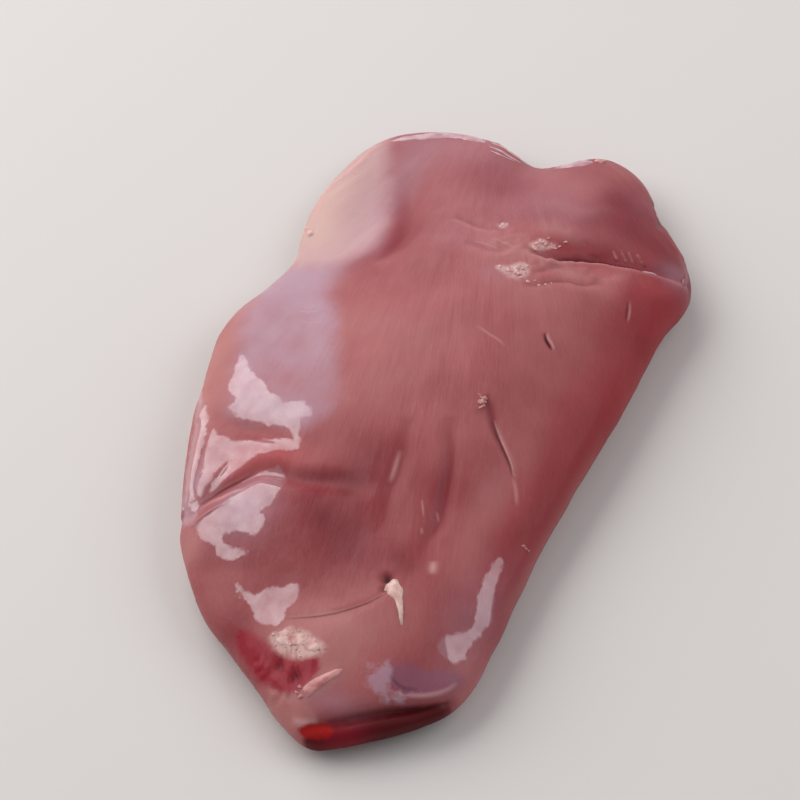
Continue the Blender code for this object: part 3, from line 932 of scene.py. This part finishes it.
# A flat lens of tissue laid along a path; its rim is sunk into the meat
def addPad(bm, path, widths, thickness, uneven):
    steps, across, sunk = 26, 9, 0.12
    frames = pathFrames(path, steps)
    grid = bmesh.ops.create_grid(bm, x_segments=steps - 1, y_segments=across - 1, size=1)["verts"]
    for vert in grid:
        t, side = (vert.co.x + 1) / 2, vert.co.y
        centre, along, left, outward = frames[round(t * (steps - 1))]
        width = np.interp(t, np.linspace(0, 1, len(widths)), widths) * mm
        width *= 1 + uneven * noise.noise(centre * 700 + left * side)
        flat = centre + left * (width * side)
        onMeat, normal = surface.find_nearest(flat)[:2]
        rise = math.sqrt(max(1 - side * side, 0)) * min(1, 6 * t, 6 * (1 - t))
        rough = 1 + uneven * noise.noise(flat * 900)
        vert.co = onMeat + outward * ((thickness * rise * rough - sunk) * mm)


# A thread of connective tissue along a path; its middle stands clear of the meat by the rise
def addThread(bm, path, radius, rise):
    steps = 18
    frames = pathFrames(path, steps)
    tube = bmesh.ops.create_grid(bm, x_segments=steps - 1, y_segments=6, size=1)["verts"]
    for vert in tube:
        t, turn = (vert.co.x + 1) / 2, math.pi * (vert.co.y + 1)
        centre, along, left, outward = frames[round(t * (steps - 1))]
        arch = max(math.sin(math.pi * t), 0)
        size = radius * arch**0.4 * (1 + 0.3 * noise.noise(centre * 900)) * mm
        lift = (rise * arch - 0.3 * radius * (1 - arch)) * mm
        vert.co = centre + left * (math.cos(turn) * size) + outward * (math.sin(turn) * size + lift)
    bmesh.ops.remove_doubles(bm, verts=tube, dist=1e-7)


def addBead(bm, place, radius, sunk=0.25, tall=0.5):
    found, normal = surfacePoint(place)
    turned = normal.to_track_quat("Z", "Y").to_matrix().to_4x4() @ Matrix.Rotation(place[0] * 0.04, 4, "Z")
    size = Matrix.Diagonal((radius * mm, radius * mm * 0.65, radius * mm * tall, 1))
    matrix = Matrix.Translation(found + normal * (radius * mm * (tall - 2 * sunk) * 0.5)) @ turned @ size
    fineness = 3 if radius > 0.7 else 2
    made = bmesh.ops.create_icosphere(bm, subdivisions=fineness, radius=1, matrix=matrix)["verts"]
    for vert in made:
        outward = (vert.co - found).normalized()
        vert.co += outward * (noise.noise(vert.co * 1300) * radius * 0.9 * mm)


# Places strewn evenly over an outline, each with a size from 0 to 1; the small ones are the more common
def frothPlaces(outline, count):
    low, high = np.min(outline, axis=0), np.max(outline, axis=0)
    strewn = []
    for i in range(1, 3000):
        place = low + (high - low) * ((i * 0.7548777) % 1, (i * 0.5698403) % 1)
        x, y = inMm(place)
        deep = insideBy(outline, np.array([x]), np.array([y]))[0]
        if deep > 0.2:
            strewn.append((place, ((i * 0.618034) % 1) ** 2 * min(1, 0.4 + deep / 2)))
        if len(strewn) == count:
            break
    return strewn


def buildTissueMaterial(name, light, dark, grainSize, coat):
    material, tree, shader = newMaterial(name, flesh | {"Roughness": tissueRoughness, "Coat Weight": coat})
    place = addNode(tree, "ShaderNodeTexCoord").outputs["Object"]
    mottle = noiseNode(tree, place, grainSize, 4.0)
    amount = mapRange(tree, mottle, 0.35, 0.65)
    tree.links.new(mixColour(tree, amount, tint(*dark), tint(*light)), shader.inputs["Base Color"])
    addBump(tree, shader, mottle, tissueBump)
    return material


tissueRoughness = 0.45
tissueBump = 0.15
tissueLook = {  # light, dark, fineness of the mottle, wetness
    "fatTissue": ((222, 190, 182), (204, 156, 154), 500, 0.3),
    "filmTissue": ((208, 174, 182), (188, 142, 152), 350, 0.4),
    "frothTissue": ((222, 178, 174), (198, 142, 140), 450, 0.4),
    "meatTissue": ((158, 92, 90), (136, 66, 70), 350, 0.0),
    "paleTissue": ((208, 148, 146), (182, 116, 116), 400, 0.2),
    "pinkTissue": ((228, 166, 166), (204, 134, 136), 450, 0.4),
    "nubTissue": ((200, 140, 136), (176, 110, 110), 400, 0.1),
    "pithTissue": ((216, 180, 174), (190, 130, 128), 520, 0.15),
}

# Single beads of fat and of meat: tissue, then the place and radius of each
beads = {
    "fatBeads": ("frothTissue", [
        ((280, 401), 0.95), ((257, 414), 0.6), ((290, 423), 0.6), ((304, 390), 0.5), ((301, 434), 0.45),
        ((347, 386), 0.45), ((229, 405), 0.6), ((186, 403), 0.45), ((376, 398), 0.35), ((402, 388), 0.4),
        ((428, 402), 0.35), ((452, 412), 0.3), ((63, 565), 0.5), ((76, 568), 0.4), ((53, 556), 0.4),
        ((250, 955), 1.3),
    ]),
    "pinkBeads": ("pinkTissue", [
        ((270, 514), 0.85), ((267, 530), 0.6), ((285, 549), 0.75), ((305, 545), 0.5), ((352, 544), 0.6),
        ((367, 561), 0.5), ((303, 566), 0.4), ((379, 580), 0.45),
    ]),
    "meatNubs": ("nubTissue", [
        ((434, 2), 0.75), ((452, 3), 0.8), ((451, -8), 0.9), ((463, -20), 0.75), ((908, -297), 0.45),
        ((921, -297), 0.5), ((934, -295), 0.4), ((316, -906), 0.55), ((318, -892), 0.5), ((342, -914), 0.6),
    ]),
}

# Bubbles strewn on the patches of froth: tissue, how many
bubbles = {
    "belowCleft": ("frothTissue", 20),
    "aboveCleft": ("pinkTissue", 10),
    "besideWing": ("frothTissue", 3),
    "tornEnd": ("frothTissue", 40),
}

# Films and flecks laid on the meat: tissue, path, half widths along it, thickness, unevenness
pads = {
    "fatFleck": ("fatTissue", [
        (470, -562), (490, -572), (520, -586), (550, -602), (580, -622), (605, -645), (625, -664),
    ], [0.5, 1.7, 1.75, 1.1, 0.7, 0.5, 0.2], 0.55, 0.25),
    "wingRim": ("filmTissue", [
        (-830, 820), (-750, 850), (-665, 877), (-605, 898), (-540, 918), (-430, 926), (-330, 913),
    ], [0.3, 1, 1.4, 1.7, 2, 1.8, 0.5], 0.5, 0.08),
    "lobeFilm": ("filmTissue", [
        (50, 890), (120, 900), (175, 922), (225, 945),
    ], [0.5, 2, 2.5, 0.8], 0.55, 0.12),
    "wingTag": ("fatTissue", [(-880, 420), (-910, 437), (-950, 452)], [1, 0.9, 0.2], 0.8, 0.2),
    "pithLeft": ("pithTissue", [
        (100, -805), (130, -793), (175, -787), (220, -790), (250, -803),
    ], [0.5, 2, 2.4, 2.2, 0.6], 0.3, 0.6),
    "pithRight": ("pithTissue", [
        (225, -775), (260, -782), (295, -792), (335, -797),
    ], [0.5, 1.9, 1.6, 0.4], 0.3, 0.6),
    "tornTongue": ("paleTissue", [
        (350, -905), (357, -899), (378, -884), (400, -866), (423, -848), (448, -829), (468, -812),
    ], [0.9, 1.5, 1.4, 1.2, 1, 0.8, 0.2], 0.45, 0.35),
}

# Threads of connective tissue: tissue, then the path, radius and rise of each
threads = {
    "paleThreads": ("filmTissue", {
        "cleftBridge": ([(740, 598), (780, 612), (830, 628)], 0.28, 0.3),
        "wingThreadA": ([(-330, 900), (-250, 890), (-180, 878), (-110, 878)], 0.25, 0.1),
        "wingThreadB": ([(-340, 925), (-250, 915), (-170, 900), (-80, 885)], 0.28, 0.15),
        "wingThreadC": ([(-300, 880), (-220, 868), (-140, 870)], 0.18, 0.05),
    }),
    "meatThreads": ("meatTissue", {
        "cleftFibreA": ([(589, 633), (610, 622), (636, 608)], 0.62, -0.4),
        "cleftFibreB": ([(620, 648), (648, 632), (678, 613)], 0.7, -0.45),
        "cleftFibreC": ([(652, 655), (680, 640), (714, 619)], 0.62, -0.4),
        "cleftFibreD": ([(691, 659), (730, 643), (765, 627)], 0.68, -0.45),
    }),
}

def addBubble(bm, place, size):
    addBead(bm, place, 0.2 + 0.35 * size, sunk=0.4, tall=0.6)


def buildSmallPieces():
    tissues = {name: buildTissueMaterial(name, *look) for name, look in tissueLook.items()}

    def lay(name, tissue, add, entries):
        bm = bmesh.new()
        for entry in entries:
            add(bm, *entry)
        addPiece(name, finishMesh(bm, name), tissues[tissue])

    for name, (tissue, entries) in beads.items():
        lay(name, tissue, addBead, entries)
    for name, (tissue, count) in bubbles.items():
        lay(name + "Froth", tissue, addBubble, frothPlaces(frothPatches[name], count))
    for name, (tissue, *shape) in pads.items():
        lay(name, tissue, addPad, [shape])
    for name, (tissue, entries) in threads.items():
        lay(name, tissue, addThread, entries.values())
    print("small pieces made")


buildSmallPieces()


# The stage: a pale floor, soft light and the camera
stageSetup = {
    "viewTurn": math.radians(24),  # the photograph's level line, turned from +X
    "eye": (0.2203, -0.3720, 0.5750),
    "aim": (0.000, 0.000, 0.010),
    "lens": 146,
    "floor": tint(214, 212, 210),
    "floorSize": 3,
    "floorRoughness": 0.7,
    "sky": 0.33,
    "lights": {  # turn left of the view, elevation, distance, width and height, power, colour
        "leftWindow": (54, 42, 0.9, 1.25, 0.88, 9.1, (1.0, 0.94, 0.93)),
        "rightWindow": (-82, 42, 0.9, 0.75, 0.62, 2.5, (1.0, 0.95, 0.98)),
    },
}


def buildStage():
    bm = bmesh.new()
    bmesh.ops.create_grid(bm, x_segments=1, y_segments=1, size=stageSetup["floorSize"])
    mesh = toMesh(bm, "floor")
    look = {"Base Color": stageSetup["floor"], "Roughness": stageSetup["floorRoughness"]}
    mesh.materials.append(newMaterial("paleFloor", look)[0])
    floor = addObject("floor", mesh)


def buildLights():
    for name, (side, rise, distance, width, height, power, colour) in stageSetup["lights"].items():
        light = bpy.data.lights.new(name, "AREA")
        light.shape = "RECTANGLE"
        light.size, light.size_y = width, height
        light.energy = power
        light.color = colour
        lamp = addObject(name, light)
        heading, rise = stageSetup["viewTurn"] + math.radians(90 + side), math.radians(rise)
        level = math.cos(rise)
        direction = Vector((level * math.cos(heading), level * math.sin(heading), math.sin(rise)))
        lamp.matrix_world = Matrix.LocRotScale(direction * distance, direction.to_track_quat("Z", "Y"), None)
    world = bpy.data.worlds.new("softStudio")
    world.use_nodes = True
    background = world.node_tree.nodes["Background"]
    background.inputs["Color"].default_value = (1, 1, 1, 1)
    background.inputs["Strength"].default_value = stageSetup["sky"]
    bpy.context.scene.world = world


def buildCamera():
    lens = bpy.data.cameras.new("camera")
    lens.lens = stageSetup["lens"]
    camera = addObject("camera", lens)
    eye, turn = Vector(stageSetup["eye"]), stageSetup["viewTurn"]
    forward = (Vector(stageSetup["aim"]) - eye).normalized()
    level = Vector((math.cos(turn), math.sin(turn), 0))
    right = (level - forward * level.dot(forward)).normalized()
    axes = Matrix((right, right.cross(forward), -forward)).transposed()
    camera.matrix_world = Matrix.Translation(eye) @ axes.to_4x4()
    bpy.context.scene.camera = camera


buildStage()
buildLights()
buildCamera()
bpy.context.scene.view_settings.view_transform = "Standard"
print("stage set")
